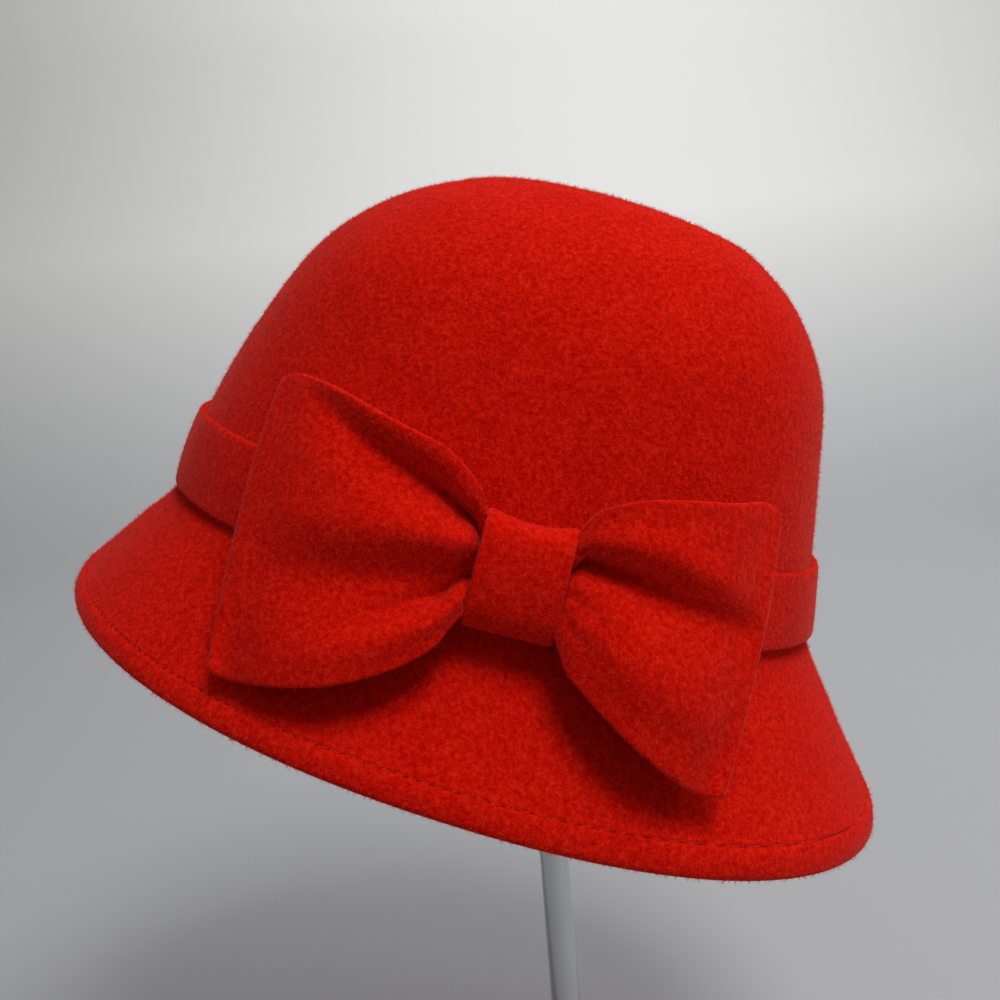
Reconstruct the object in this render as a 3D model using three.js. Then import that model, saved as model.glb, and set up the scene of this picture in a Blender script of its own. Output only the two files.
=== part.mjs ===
import * as THREE from 'three';

// A felt cloche hat with a folded bow on its band, tilted on a plain metal display stand.
// Millimetres. The base stands on Z = 0 and the pole rises along Z. The hat's front points
// to -Y and its bow side to -X. In the hat's own frame Z is the crown's axis, and the rim
// lies in the plane Z = 0.

const GAP = 0.3;
const AROUND = 60;
const DEGREE = Math.PI / 180;

// The hat on its stand
const HAT_TILT = 21.5 * DEGREE;
const POLE_AHEAD_AT_RIM = 21;
const STAND_HEIGHT = 338;
const HAT_SEAT_RISE = 153.2;

// Crown and brim, one felt hood
const FELT = 2.4;
const OVAL_POWER = 2.15;
const CROWN_HALF_LENGTH = 102;
const CROWN_WIDTH_RATIO = 0.84;
const BREAK_HEIGHT = 43.5;
const BAND_WIDTH = 22.8;
const BAND_LEAN = 3.4 * DEGREE;
const RIM_HALF_LENGTH = 132.4;
const HEM_DEPTH = 9;
const HEM_RISE = 0.35;

// Each section of the crown, upwards from the break between crown and brim: its height over
// the break, half its length, and how far it is set back from the middle of the rim.
const CROWN = [
  { height: 0, half: CROWN_HALF_LENGTH, back: 8 },
  { height: BAND_WIDTH, half: 98.2, back: 9.6 },
  { height: 50, half: 91.2, back: 8.8 },
  { height: 76, half: 81.8, back: 7 },
  { height: 94, half: 67.8, back: 4.8 },
  { height: 105.5, half: 51.4, back: 2 },
  { height: 112, half: 34, back: 0 },
  { height: 115, half: 0, back: -1 },
];

// Sections of the brim, downwards from the break to the rim.
const BRIM = [
  { down: 0, half: CROWN_HALF_LENGTH, back: 8 },
  { down: 0.5, half: 117.2, back: 4.8 },
  { down: 1, half: RIM_HALF_LENGTH, back: 0 },
];

// Band, bow and knot, in strips of thinner felt
const STRIP_FELT = 1.8;
const BAND_FELT = 2;
const BAND_START = 0.04;
const BOW_AHEAD = 1.3;
const BOW_ABOVE = 1;
const BOW_LEAN = 12 * DEGREE;
const BOW_STAND_OFF = 0.55;
const LOOP_STEPS = 3;
const STRIP_STEPS = 10;

// The bow's front layer from the knot out to each fold: the distance out from the knot, how
// far it stands off the band, how much further its lower edge stands off, and its two edges.
const REAR_LOOP = [
  { out: 12, rise: 9.6, twist: 0, top: 12.2, bottom: -12.2 },
  { out: 16.5, rise: 13, twist: 0, top: 19, bottom: -21 },
  { out: 25, rise: 16.4, twist: 0.5, top: 25, bottom: -28 },
  { out: 38, rise: 16.6, twist: 1.8, top: 30.2, bottom: -34.5 },
  { out: 53, rise: 11, twist: 3.8, top: 35, bottom: -38.8 },
  { out: 64.5, rise: 2.8, twist: 5.6, top: 37.2, bottom: -40.8 },
];
const FRONT_LOOP = [
  { out: 12, rise: 9.6, twist: 0, top: 12.2, bottom: -12.2 },
  { out: 16.5, rise: 13, twist: 0, top: 19.4, bottom: -19 },
  { out: 25, rise: 16.4, twist: 0.5, top: 25, bottom: -25 },
  { out: 35, rise: 16, twist: 1.8, top: 28.4, bottom: -31 },
  { out: 47, rise: 10.4, twist: 3.6, top: 31, bottom: -37 },
  { out: 56, rise: 2.8, twist: 5.4, top: 33.8, bottom: -40 },
];
const WAIST = { half: 10, frontRise: 9.4, backRise: 3.5 };
const FOLD_START = 20;
const FOLD_REACH = 5;
const FOLD_DROP = 4.6;
const FOLD_BULGE = 2.2;
const BACK_LIFT = 6.6;

// Folds pressed into the front layer by the knot. Places on the strip run from -1 at its
// lower edge to 1 at its upper edge, and a fold dies out at its length from the knot.
const FOLDS = [
  { side: -1, atKnot: 0.52, atEnd: 0.84, depth: 7, spread: 0.15, length: 54 },
  { side: -1, atKnot: -0.18, atEnd: -0.55, depth: 4.5, spread: 0.14, length: 36 },
  { side: -1, atKnot: -0.1, atEnd: -0.12, depth: 5, spread: 0.42, length: 66 },
  { side: 1, atKnot: 0.22, atEnd: 0.24, depth: 7.5, spread: 0.22, length: 58 },
  { side: 1, atKnot: -0.15, atEnd: -0.1, depth: 3, spread: 0.3, length: 50 },
];

const KNOT = { half: 11.4, top: 14.2, flare: 0.6, front: 12.8, corner: 2.6 };

// Stand
const BASE = { radius: 80, thickness: 6, round: 1.5 };
const POLE_RADIUS = 5;
const TOP = { radius: 32, edge: 3, dome: 7 };

const FELT_RED = new THREE.MeshStandardMaterial({ color: 0xc01a12, roughness: 0.95 });
const CHROME = new THREE.MeshStandardMaterial({ color: 0xc9ccce, roughness: 0.12, metalness: 1 });

// Smooth values at a place between the rows of a table, column by column.
function between(rows, place, closed = false) {
  const n = rows.length;
  const i = closed ? Math.floor(place) : Math.min(Math.floor(place), n - 2);
  const t = place - i;
  const row = (k) => rows[closed ? (k + n) % n : Math.max(0, Math.min(n - 1, k))];
  const value = {};
  for (const key of Object.keys(rows[0])) {
    const [a, b, c, d] = [row(i - 1)[key], row(i)[key], row(i + 1)[key], row(i + 2)[key]];
    value[key] = b + 0.5 * t * (c - a + t * (2 * a - 5 * b + 4 * c - d + t * (3 * (b - c) + d - a)));
  }
  return value;
}

// A closed mesh from a grid of points. Rows join the next row, and the last row the first
// where the grid is a ring. Otherwise the first and last rows are single points.
function gridMesh(name, grid, material, ring) {
  const position = [];
  const index = [];
  const start = grid.map((row) => {
    const first = position.length / 3;
    row.forEach((p) => position.push(...p));
    return first;
  });
  const rows = ring ? grid.length : grid.length - 1;
  for (let i = 0; i < rows; i += 1) {
    const j = (i + 1) % grid.length;
    const n = Math.max(grid[i].length, grid[j].length);
    for (let k = 0; k < n; k += 1) {
      const next = (k + 1) % n;
      const [a, b] = [start[i] + k, start[i] + next];
      const [c, d] = [start[j] + k, start[j] + next];
      if (grid[i].length === 1) index.push(start[i], c, d);
      else if (grid[j].length === 1) index.push(a, start[j], b);
      else index.push(a, c, b, b, c, d);
    }
  }
  const geometry = new THREE.BufferGeometry();
  geometry.setAttribute('position', new THREE.Float32BufferAttribute(position, 3));
  geometry.setIndex(index);
  geometry.computeVertexNormals();
  const mesh = new THREE.Mesh(geometry, material);
  mesh.name = name;
  return mesh;
}

// One oval section of the hat. It is wider in the corners than an ellipse, and the sections
// over the break lean with the band.
function oval(level) {
  const power = (value) => Math.sign(value) * Math.abs(value) ** (2 / OVAL_POWER);
  return Array.from({ length: AROUND }, (_, k) => {
    const angle = (k / AROUND) * 2 * Math.PI;
    const ahead = level.half * power(Math.cos(angle)) - level.back;
    const aside = level.wide * power(Math.sin(angle));
    return [aside, -ahead, level.height + level.lean * ahead];
  });
}

function crownLevel(place) {
  const last = CROWN[CROWN.length - 2];
  const row = between([...CROWN, { ...last, half: -last.half }], place);
  const crownHeight = CROWN[CROWN.length - 1].height;
  return {
    half: row.half,
    wide: row.half * CROWN_WIDTH_RATIO,
    back: row.back,
    height: BREAK_HEIGHT + row.height,
    lean: Math.tan(BAND_LEAN) * (1 - row.height / crownHeight),
  };
}

function brimLevel(down) {
  const row = between(BRIM, down * (BRIM.length - 1));
  return {
    half: row.half,
    wide: row.half - CROWN_HALF_LENGTH * (1 - CROWN_WIDTH_RATIO),
    back: row.back,
    height: BREAK_HEIGHT * (1 - down),
    lean: Math.tan(BAND_LEAN) * (1 - down),
  };
}

// The level at a place on the hat: from -1 at the rim through 0 at the break up to the top.
function hatLevel(place) {
  return place < 0 ? brimLevel(-place) : crownLevel(place);
}

// The same level moved into the felt by a depth, square to the hat's skin.
function sunk(place, depth) {
  const step = 0.02;
  const level = hatLevel(place);
  const above = hatLevel(Math.min(place + step, CROWN.length - 1));
  const below = hatLevel(Math.max(place - step, -1));
  const [run, fall] = [below.half - above.half, above.height - below.height];
  const length = Math.hypot(run, fall);
  const [sideways, upwards] = [(depth * fall) / length, (depth * run) / length];
  return {
    ...level,
    half: level.half - sideways,
    wide: level.wide - sideways,
    height: level.height - upwards,
  };
}

// Crown and brim in one wall, with the rim turned under to a flat hem.
function feltBody() {
  const brimLength = Math.hypot(RIM_HALF_LENGTH - CROWN_HALF_LENGTH, BREAK_HEIGHT);
  const hemPlace = -1 + HEM_DEPTH / brimLength;
  const edgeRadius = FELT + HEM_RISE / 2;
  const edgePlace = -1 + edgeRadius / brimLength;
  const crownPlaces = [0.08, 0.5, 1, 1.5, 2, 2.5, 3, 3.5, 4, 4.5, 5, 5.5, 6, 6.4, 6.8].reverse();
  const brimPlaces = [-0.06, -0.3, -0.55];
  const shell = [...crownPlaces, ...brimPlaces, hemPlace + 0.02];
  const edge = [30, 60, 90, 120, 150].map((turn) => turn * DEGREE);
  const outside = shell.map((place) => sunk(place, 0));
  const hem = [
    sunk(hemPlace, -HEM_RISE),
    sunk(edgePlace, -HEM_RISE),
    ...edge.map((turn) => sunk(
      edgePlace - (edgeRadius * Math.sin(turn)) / brimLength,
      edgeRadius * (1 - Math.cos(turn)) - HEM_RISE,
    )),
    sunk(edgePlace, 2 * FELT),
    sunk(hemPlace, 2 * FELT),
  ];
  const inside = shell.map((place) => sunk(place, FELT)).reverse();
  const tip = hatLevel(CROWN.length - 1);
  const point = (depth) => [[0, tip.back, tip.height - depth]];
  const rings = [...outside, ...hem, ...inside].map(oval);
  return gridMesh('felt_body', [point(0), ...rings, point(FELT)], FELT_RED, false);
}

function band() {
  const layer = (place, depth) => oval(sunk(place, depth));
  const outer = -(GAP + BAND_FELT);
  const section = [
    layer(1, -GAP), layer(1, outer), layer(0.5, outer),
    layer(BAND_START, outer), layer(BAND_START, -GAP), layer(0.5, -GAP),
  ];
  return gridMesh('band', section, FELT_RED, true);
}

// How far the folds press the front layer in at a place on one loop.
function foldDepth(side, out, across) {
  let depth = 0;
  for (const fold of FOLDS) {
    if (fold.side === side && out < fold.length) {
      const along = out / fold.length;
      const middle = fold.atKnot + (fold.atEnd - fold.atKnot) * along;
      const spread = (across - middle) / fold.spread;
      depth += fold.depth * Math.exp(-spread * spread) * (1 - along * along);
    }
  }
  return depth;
}

// The closed path of the strip, seen along its width: out along the front layer to one fold,
// back under it past the knot to the other fold, and in again.
function stripPath() {
  const front = (rows, side) => rows.map((row) => ({ ...row, x: side * row.out, front: 1 }));
  const back = (rows, side) => rows.map((row) => {
    const share = row.out / rows[rows.length - 1].out;
    const outer = rows[rows.length - 1].rise - 2 * FOLD_DROP;
    const rise = WAIST.backRise + (outer - WAIST.backRise) * share ** 2;
    return { ...row, x: side * row.out, rise, front: 0 };
  });
  const tip = (rows, side) => {
    const last = rows[rows.length - 1];
    return { ...last, x: side * (last.out + FOLD_REACH), rise: last.rise - FOLD_DROP, front: 0.3 };
  };
  const waist = (rise, isFront) => ({
    out: 0, x: 0, rise, twist: 0, top: WAIST.half, bottom: -WAIST.half, front: isFront,
  });
  return [
    waist(WAIST.frontRise, 1),
    ...front(FRONT_LOOP, 1),
    tip(FRONT_LOOP, 1),
    ...back(FRONT_LOOP, 1).reverse(),
    waist(WAIST.backRise, 0),
    ...back(REAR_LOOP, -1),
    tip(REAR_LOOP, -1),
    ...front(REAR_LOOP, -1).reverse(),
  ];
}

function stripMiddle() {
  const path = stripPath();
  return Array.from({ length: path.length * LOOP_STEPS }, (_, i) => {
    const here = between(path, i / LOOP_STEPS, true);
    return Array.from({ length: STRIP_STEPS + 1 }, (__, k) => {
      const across = (2 * k) / STRIP_STEPS - 1;
      const y = here.bottom + ((here.top - here.bottom) * (across + 1)) / 2;
      const open = THREE.MathUtils.smoothstep(Math.abs(here.x), KNOT.half, FOLD_START);
      const press = here.front * open * foldDepth(Math.sign(here.x), Math.abs(here.x), across);
      const bulge = (FOLD_BULGE * (1 - across * across) * here.x) / REAR_LOOP[REAR_LOOP.length - 1].out;
      const lift = BACK_LIFT * (1 - here.front) * Math.min(across, 0) ** 2;
      const rise = here.rise + lift - here.twist * across - press;
      return new THREE.Vector3(here.x + bulge, y, rise);
    });
  });
}

// Gives a grid of points a thickness, half to each side, as a ring of closed sections.
function thicken(middle, thickness) {
  const n = middle.length;
  return middle.map((row, i) => {
    const offset = row.map((p, k) => {
      const along = middle[(i + 1) % n][k].clone().sub(middle[(i + n - 1) % n][k]);
      const across = row[Math.min(k + 1, row.length - 1)].clone().sub(row[Math.max(k - 1, 0)]);
      return along.cross(across).normalize().multiplyScalar(thickness / 2);
    });
    const upper = row.map((p, k) => p.clone().add(offset[k]).toArray());
    const lower = row.map((p, k) => p.clone().sub(offset[k]).toArray());
    return [...upper, ...lower.reverse()];
  });
}

function bow() {
  return gridMesh('bow', thicken(stripMiddle(), STRIP_FELT), FELT_RED, true);
}

// A short strip once round the bow's waist, drawn in at the middle of its width.
function knot() {
  const inset = STRIP_FELT / 2;
  const low = GAP + inset;
  const high = KNOT.front - inset;
  const quarter = [0, 30, 60, 90];
  const middle = [];
  for (const [sideY, sideZ, from] of [[1, 1, 0], [-1, 1, 90], [-1, -1, 180], [1, -1, 270]]) {
    for (const turn of quarter) {
      const angle = (from + turn) * DEGREE;
      const row = [-1, -0.5, 0, 0.5, 1].map((across) => {
        const top = KNOT.top - inset + KNOT.flare * across * across;
        const y = sideY * (top - KNOT.corner) + KNOT.corner * Math.cos(angle);
        const centre = sideZ > 0 ? high - KNOT.corner : low + KNOT.corner;
        return new THREE.Vector3(across * KNOT.half, y, centre + KNOT.corner * Math.sin(angle));
      });
      middle.push(row);
    }
  }
  return gridMesh('knot', thicken(middle, STRIP_FELT), FELT_RED, true);
}

// Bow and knot in a frame on the band: X ahead along the band, Y up, Z away from the head.
function bowGroup() {
  const group = new THREE.Group();
  const out = new THREE.Vector3(-Math.cos(BOW_LEAN), 0, Math.sin(BOW_LEAN));
  const ahead = new THREE.Vector3(0, -Math.cos(BAND_LEAN), Math.sin(BAND_LEAN));
  const up = out.clone().cross(ahead).normalize();
  ahead.crossVectors(up, out).normalize();
  group.setRotationFromMatrix(new THREE.Matrix4().makeBasis(ahead, up, out));
  const level = sunk(0.5, -(GAP + BAND_FELT + BOW_STAND_OFF));
  group.position.set(-level.wide, -BOW_AHEAD, level.height + level.lean * BOW_AHEAD);
  group.position.addScaledVector(up, BOW_ABOVE);
  group.add(bow(), knot());
  return group;
}

function lathe(name, outline, material) {
  const points = outline.map(([r, z]) => new THREE.Vector2(r, z));
  const geometry = new THREE.LatheGeometry(points, 48);
  geometry.rotateX(90 * DEGREE);
  const mesh = new THREE.Mesh(geometry, material);
  mesh.name = name;
  return mesh;
}

function standBase() {
  const { radius, thickness, round } = BASE;
  return lathe('stand_base', [
    [0, 0], [radius - 0.5, 0], [radius, 0.5], [radius, thickness - round],
    [radius - 0.45 * round, thickness - 0.45 * round], [radius - round, thickness], [0, thickness],
  ], CHROME);
}

function standPole() {
  const length = STAND_HEIGHT - TOP.edge - TOP.dome - BASE.thickness - 2 * GAP;
  const geometry = new THREE.CylinderGeometry(POLE_RADIUS, POLE_RADIUS, length, 24);
  geometry.rotateX(90 * DEGREE);
  const mesh = new THREE.Mesh(geometry, CHROME);
  mesh.name = 'stand_pole';
  mesh.position.z = BASE.thickness + GAP + length / 2;
  return mesh;
}

// A domed disc that the inside of the crown rests on.
function standTop() {
  const under = STAND_HEIGHT - TOP.edge - TOP.dome;
  const dome = [0, 0.25, 0.5, 0.75, 0.9, 1].reverse().map((share) => (
    [TOP.radius * share, under + TOP.edge + TOP.dome * (1 - share * share)]
  ));
  return lathe('stand_top', [[0, under], [TOP.radius - 1, under], [TOP.radius, under + 1], ...dome],
    CHROME);
}

function hatGroup() {
  const group = new THREE.Group();
  group.rotation.x = HAT_TILT;
  const poleShift = POLE_AHEAD_AT_RIM * Math.cos(HAT_TILT);
  group.position.set(0, poleShift, STAND_HEIGHT - HAT_SEAT_RISE);
  group.add(feltBody(), band(), bowGroup());
  return group;
}

const part = new THREE.Group();
part.add(standBase(), standPole(), standTop(), hatGroup());

export default part;
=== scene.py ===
"""A red felt cloche hat with a folded bow, tilted on a plain chrome display stand.

The solids give every size and place. This script dresses them: it rebuilds each felt piece as
a fine mesh of the same form, with rounded cut edges, folds, a stitched hem and a short nap, and
gives felt, thread and chrome their finishes.
"""

import logging
import math
from dataclasses import dataclass, field
from enum import Enum

import bpy
import numpy as np
from mathutils import Matrix, Vector


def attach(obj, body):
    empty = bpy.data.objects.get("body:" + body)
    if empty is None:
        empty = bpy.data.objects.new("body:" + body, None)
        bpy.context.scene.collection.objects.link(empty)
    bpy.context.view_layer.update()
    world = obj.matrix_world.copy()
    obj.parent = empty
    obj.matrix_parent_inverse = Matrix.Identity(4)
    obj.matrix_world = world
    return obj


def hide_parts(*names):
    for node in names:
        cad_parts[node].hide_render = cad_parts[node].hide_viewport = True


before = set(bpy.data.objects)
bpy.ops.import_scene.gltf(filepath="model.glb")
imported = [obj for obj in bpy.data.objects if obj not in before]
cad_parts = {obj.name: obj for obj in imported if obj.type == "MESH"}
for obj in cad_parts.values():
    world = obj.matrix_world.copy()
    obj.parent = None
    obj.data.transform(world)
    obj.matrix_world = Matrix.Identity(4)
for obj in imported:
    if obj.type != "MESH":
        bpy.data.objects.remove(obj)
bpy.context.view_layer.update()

MM = 0.001
LOG = logging.getLogger("cloche")
Row = dict[str, float]


class Slot(Enum):
    """The record's material slots."""

    FELT = "felt"
    CHROME = "chrome"


# Numbers and tables


def between(rows: list[Row], places: np.ndarray, closed: bool = False) -> dict[str, np.ndarray]:
    """Smooth values between the rows of a table, column by column.

    Args:
        rows: The table, a dictionary for each row.
        places: Where to read it, in rows from the first.
        closed: True where the last row leads back to the first.

    Returns:
        An array of values for each column.
    """
    n = len(rows)
    places = np.asarray(places, dtype=float)
    start = np.floor(places).astype(int)
    if not closed:
        start = np.clip(start, 0, n - 2)
    t = places - start
    values = {}
    for key in rows[0]:
        column = np.array([row[key] for row in rows])
        picks = [start + step for step in (-1, 0, 1, 2)]
        picks = [pick % n if closed else np.clip(pick, 0, n - 1) for pick in picks]
        a, b, c, d = (column[pick] for pick in picks)
        values[key] = b + 0.5 * t * (
            c - a + t * (2 * a - 5 * b + 4 * c - d + t * (3 * (b - c) + d - a))
        )
    return values


def smoothstep(value: np.ndarray, low: float, high: float) -> np.ndarray:
    """A smooth rise from 0 at low to 1 at high."""
    t = np.clip((value - low) / (high - low), 0, 1)
    return t * t * (3 - 2 * t)


def unit(vectors: np.ndarray) -> np.ndarray:
    """The same vectors at length 1."""
    return vectors / np.maximum(np.linalg.norm(vectors, axis=-1, keepdims=True), 1e-12)


def loop_length(points: np.ndarray) -> float:
    """How long a closed loop of points is."""
    return float(np.linalg.norm(points - np.roll(points, 1, axis=0), axis=1).sum())


# Meshes


def placed(name: str, data: bpy.types.ID) -> bpy.types.Object:
    """Makes an object of some data and puts it in the scene.

    Args:
        name: The object's name.
        data: Its mesh, curve, light or camera.

    Returns:
        The object, at the origin.
    """
    made = bpy.data.objects.new(name, data)
    bpy.context.scene.collection.objects.link(made)
    return made


def grid_object(name: str, grid: np.ndarray, place: Matrix, ring: bool) -> bpy.types.Object:
    """Makes a closed mesh object from rows of points.

    Args:
        name: The piece's name.
        grid: Points in millimetres, row by row. Each row is a closed loop.
        place: The frame that the points are in, as a matrix into the part's frame.
        ring: True where the last row joins the first. Otherwise a point closes each end.

    Returns:
        The object, at the origin, with its place in its mesh.
    """
    rows, columns, _ = grid.shape
    points = grid.reshape(-1, 3)
    faces = []
    for i in range(rows if ring else rows - 1):
        j = (i + 1) % rows
        for k in range(columns):
            m = (k + 1) % columns
            faces.append((i * columns + k, j * columns + k, j * columns + m, i * columns + m))
    if not ring:
        tips = np.array([grid[0].mean(axis=0), grid[-1].mean(axis=0)])
        first, last = len(points), len(points) + 1
        points = np.vstack([points, tips])
        end = (rows - 1) * columns
        for k in range(columns):
            m = (k + 1) % columns
            faces.append((first, k, m))
            faces.append((last, end + m, end + k))
    mesh = bpy.data.meshes.new(name)
    mesh.from_pydata((points * MM).tolist(), [], faces)
    mesh.transform(place)
    mesh.update()
    mesh.shade_smooth()
    return placed(name, mesh)


def skin_of(piece: bpy.types.Object, first: int, last: int) -> bpy.types.Mesh:
    """A mesh of some of a piece's faces.

    Args:
        piece: The piece.
        first: The first face.
        last: The face to stop before.

    Returns:
        The mesh, which no object carries yet.
    """
    mesh = piece.data
    points = [vertex.co[:] for vertex in mesh.vertices]
    faces = [face.vertices[:] for face in mesh.polygons[first:last]]
    skin = bpy.data.meshes.new(piece.name + "_skin")
    skin.from_pydata(points, [], faces)
    skin.update()
    return skin


def thickened(middle: np.ndarray, thickness: float, soft: int = 4) -> np.ndarray:
    """Gives a closed strip a thickness and rounded cut edges.

    Args:
        middle: The strip's middle surface, in rows across it. The last leads to the first.
        thickness: How thick the felt is.
        soft: How many points round off each cut edge.

    Returns:
        Rows of closed loops round the strip's section.
    """
    along = np.roll(middle, -1, axis=0) - np.roll(middle, 1, axis=0)
    across = np.gradient(middle, axis=1)
    normal = unit(np.cross(along, across))
    half = thickness / 2
    side = unit(across)
    share = np.linspace(0, 1, middle.shape[1])[None, :, None]
    inner = middle + half * ((1 - share) * side[:, :1] - share * side[:, -1:])
    turns = np.linspace(0, math.pi, soft + 2)[1:-1]
    far = [inner[:, -1] + half * (math.cos(a) * normal[:, -1] + math.sin(a) * side[:, -1])
           for a in turns]
    near = [inner[:, 0] - half * (math.cos(a) * normal[:, 0] + math.sin(a) * side[:, 0])
            for a in turns]
    upper = inner + normal * half
    lower = (inner - normal * half)[:, ::-1]
    return np.concatenate(
        [upper, np.stack(far, axis=1), lower, np.stack(near, axis=1)], axis=1
    )


# Shader and Geometry Nodes trees


class Socket:
    """An output socket that takes part in Python expressions."""

    def __init__(self, tree: "Tree", link: bpy.types.NodeSocket) -> None:
        """Wraps a link in the tree that it belongs to."""
        self.tree = tree
        self.link = link

    def _maths(self, operation: str, *values: "Socket | float") -> "Socket":
        """Adds one Math node.

        Args:
            operation: What it does.
            values: The values or links that it takes.

        Returns:
            Its result.
        """
        return self.tree.node(
            "ShaderNodeMath", {"operation": operation}, dict(enumerate(values))
        )

    def __add__(self, other: "Socket | float") -> "Socket":
        """Adds."""
        return self._maths("ADD", self, other)

    def __radd__(self, other: float) -> "Socket":
        """Adds to a number."""
        return self._maths("ADD", other, self)

    def __sub__(self, other: "Socket | float") -> "Socket":
        """Takes away."""
        return self._maths("SUBTRACT", self, other)

    def __rsub__(self, other: float) -> "Socket":
        """Takes away from a number."""
        return self._maths("SUBTRACT", other, self)

    def __mul__(self, other: "Socket | float") -> "Socket":
        """Multiplies."""
        return self._maths("MULTIPLY", self, other)

    def __rmul__(self, other: float) -> "Socket":
        """Multiplies a number."""
        return self._maths("MULTIPLY", other, self)


class Tree:
    """A node tree that is built by calls of one method."""

    def __init__(self, tree: bpy.types.NodeTree) -> None:
        """Takes an empty tree."""
        self.tree = tree

    def node(self, kind: str, settings: dict, inputs: dict, out: int | str = 0) -> Socket:
        """Adds a node.

        Args:
            kind: The node's type.
            settings: Its settings. A setting named stops gives a ramp its colours.
            inputs: Values or links for its sockets, by name or number.
            out: The output to return.

        Returns:
            That output.
        """
        made = self.tree.nodes.new(kind)
        for name, value in settings.items():
            if name == "stops":
                self._set_stops(made.color_ramp, value)
            else:
                setattr(made, name, value)
        for name, value in inputs.items():
            if isinstance(value, Socket):
                self.tree.links.new(value.link, made.inputs[name])
            else:
                made.inputs[name].default_value = value
        return Socket(self, made.outputs[out]) if made.outputs else Socket(self, None)

    def place(self) -> Socket:
        """Object coordinates."""
        return self.node("ShaderNodeTexCoord", {}, {}, "Object")

    def ramp(self, stops: list[tuple[float, tuple]], value: Socket) -> Socket:
        """A colour between stops, by a value."""
        return self.node("ShaderNodeValToRGB", {"stops": stops}, {0: value})

    def surface(self, inputs: dict) -> None:
        """Ends a material in a Principled shader with these inputs."""
        shader = self.node("ShaderNodeBsdfPrincipled", {}, inputs)
        self.node("ShaderNodeOutputMaterial", {}, {"Surface": shader})

    @staticmethod
    def _set_stops(ramp: bpy.types.ColorRamp, stops: list[tuple[float, tuple]]) -> None:
        """Gives a colour ramp its stops.

        Args:
            ramp: The ramp.
            stops: Each stop's position and colour, from low to high.
        """
        while len(ramp.elements) < len(stops):
            ramp.elements.new(1.0)
        for element, (position, colour) in zip(ramp.elements, stops):
            element.position = position
            element.color = (*colour, 1.0)


def new_material(name: str) -> tuple[bpy.types.Material, Tree]:
    """Makes an empty node material.

    Args:
        name: Its name.

    Returns:
        The material and its tree.
    """
    material = bpy.data.materials.new(name)
    material.use_nodes = True
    material.node_tree.nodes.clear()
    return material, Tree(material.node_tree)


# Finishes


@dataclass(frozen=True)
class FeltFinish:
    """Pressed wool felt: mottled, matt, with a fine pebbled skin and a soft sheen."""

    name: str = "red_felt"
    deep: tuple = (0.40, 0.0023, 0.0008)
    body: tuple = (0.58, 0.0062, 0.0018)
    bright: tuple = (0.75, 0.019, 0.006)
    roughness: float = 0.92
    sheen: float = 0.22
    sheen_roughness: float = 0.42
    sheen_tint: tuple = (1.0, 0.3, 0.26, 1.0)
    pebble_mm: float = 0.75
    cloud_mm: float = 9.0
    relief_mm: float = 0.42

    def material(self) -> bpy.types.Material:
        """Builds the material.

        Returns:
            The material.
        """
        material, tree = new_material(self.name)
        place = tree.place()
        fine = self._noise(tree, place, self.pebble_mm, 3.0, 0.62)
        grain = self._noise(tree, place, self.pebble_mm * 0.42, 2.0, 0.55)
        cloud = self._noise(tree, place, self.cloud_mm, 2.0, 0.5)
        mottle = 0.7 * fine + 0.4 * grain + 0.1 * cloud - 0.06
        colour = tree.ramp([(0.36, self.deep), (0.54, self.body), (0.74, self.bright)], mottle)
        height = 0.65 * fine + 0.35 * grain
        bump = tree.node(
            "ShaderNodeBump",
            {},
            {"Strength": 0.9, "Distance": self.relief_mm * MM, "Height": height},
        )
        tree.surface({
            "Base Color": colour,
            "Roughness": self.roughness,
            "Specular IOR Level": 0.0,
            "Sheen Weight": self.sheen,
            "Sheen Roughness": self.sheen_roughness,
            "Sheen Tint": self.sheen_tint,
            "Normal": bump,
        })
        return material

    @staticmethod
    def _noise(tree: Tree, place: Socket, size_mm: float, detail: float, rough: float) -> Socket:
        """A noise whose features are about size_mm across.

        Args:
            tree: The material's tree.
            place: The coordinates to read.
            size_mm: How large the features are.
            detail: How many finer layers it has.
            rough: How strong the finer layers are.

        Returns:
            The noise, about 0.5 on average.
        """
        return tree.node(
            "ShaderNodeTexNoise",
            {"noise_dimensions": "3D"},
            {
                "Vector": place,
                "Scale": 0.5 / (size_mm * MM),
                "Detail": detail,
                "Roughness": rough,
            },
        )


@dataclass(frozen=True)
class NapFinish:
    """Single wool fibres that stand off the felt."""

    name: str = "red_nap"
    colour: tuple = (0.70, 0.020, 0.010, 1.0)

    def material(self) -> bpy.types.Material:
        """Builds the material.

        Returns:
            The material.
        """
        material, tree = new_material(self.name)
        tree.surface({"Base Color": self.colour, "Roughness": 0.85, "Specular IOR Level": 0.2})
        return material


@dataclass(frozen=True)
class ThreadFinish:
    """Twisted sewing thread in the felt's own red, with painted shade in the grooves of its twist.
    """

    name: str = "red_thread"
    groove_painted_shade: tuple = (0.28, 0.003, 0.002)
    light: tuple = (0.66, 0.016, 0.007)
    twist_mm: float = 0.35

    def material(self) -> bpy.types.Material:
        """Builds the material.

        Returns:
            The material.
        """
        material, tree = new_material(self.name)
        place = tree.place()
        twist = tree.node(
            "ShaderNodeTexWave",
            {"wave_type": "BANDS", "bands_direction": "DIAGONAL"},
            {"Vector": place, "Scale": 0.05 / (self.twist_mm * MM), "Distortion": 0.6},
            "Fac",
        )
        # Painted shade: the colour follows the same twist as the bump, darkest where the thread's
        # surface is lowest, and that darkest stop lies below the felt's red so that the stitch line
        # reads as dark dents.
        colour = tree.ramp([(0.2, self.groove_painted_shade), (0.8, self.light)], twist)
        bump = tree.node(
            "ShaderNodeBump", {}, {"Strength": 0.5, "Distance": 0.1 * MM, "Height": twist}
        )
        tree.surface({
            "Base Color": colour, "Roughness": 0.85, "Specular IOR Level": 0.1, "Normal": bump
        })
        return material


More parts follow.
